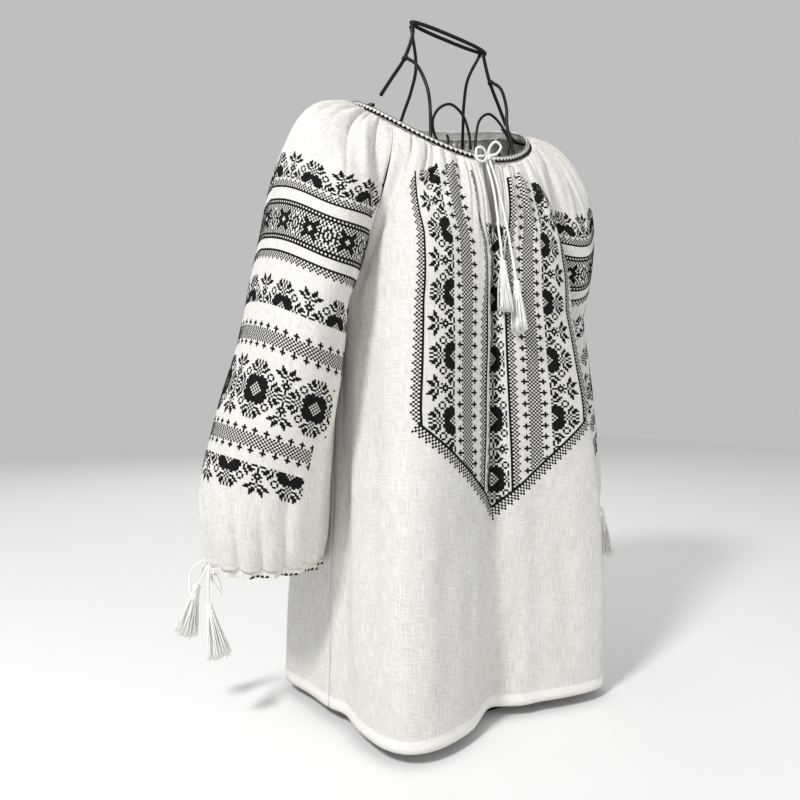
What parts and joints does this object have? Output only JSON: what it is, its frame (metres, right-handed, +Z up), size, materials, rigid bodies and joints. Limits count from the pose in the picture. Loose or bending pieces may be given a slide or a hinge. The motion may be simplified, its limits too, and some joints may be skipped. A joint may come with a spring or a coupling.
{
  "type": "embroidered romanian ie blouse on a wire dress form",
  "caption": "Gathered folk blouse with wide sleeves, a tied neck slit, cuff ties and tassels, filled out on a limbless wire dress form that stands on a flat ring.",
  "frame": {"origin": "on the floor, under the middle of the outline of the blouse and its form seen from above", "axes": "+Z up the form; the blouse faces -Y, and its right sleeve is on the -X side"},
  "size_m": [0.6097, 0.2764, 0.7988],
  "materials": {
    "linen": "open plain weave, matte",
    "neck_trim": "dense cotton stitching, matte",
    "cord": "twisted cotton cord",
    "black_wire": "semi-gloss black"
  },
  "bodies": {
    "root": {"front": "linen", "back": "linen", "sleeve_right": "linen", "sleeve_left": "linen", "neckband": "neck_trim", "cuff_right": "linen", "cuff_left": "linen", "neck_bow": "cord", "neck_cord_a": "cord", "neck_cord_b": "cord", "neck_tassel_a": "cord", "neck_tassel_b": "cord", "cuff_bow_right": "cord", "cuff_bow_left": "cord", "cuff_cord_right_a": "cord", "cuff_cord_right_b": "cord", "cuff_cord_left_a": "cord", "cuff_cord_left_b": "cord", "cuff_tassel_right_a": "cord", "cuff_tassel_right_b": "cord", "cuff_tassel_left_a": "cord", "cuff_tassel_left_b": "cord", "form_top_ring": "black_wire", "form_shoulder_bar_right": "black_wire", "form_shoulder_bar_left": "black_wire", "form_shoulder_wire_right": "black_wire", "form_shoulder_wire_left": "black_wire", "form_front_rib_right": "black_wire", "form_front_rib_left": "black_wire", "form_back_rib_right": "black_wire", "form_back_rib_left": "black_wire", "form_side_rib_right": "black_wire", "form_side_rib_left": "black_wire", "form_scroll_right": "black_wire", "form_scroll_left": "black_wire", "form_chest_hoop": "black_wire", "form_waist_hoop": "black_wire", "form_hip_hoop": "black_wire", "form_base_ring": "black_wire"}
  },
  "joints": []
}
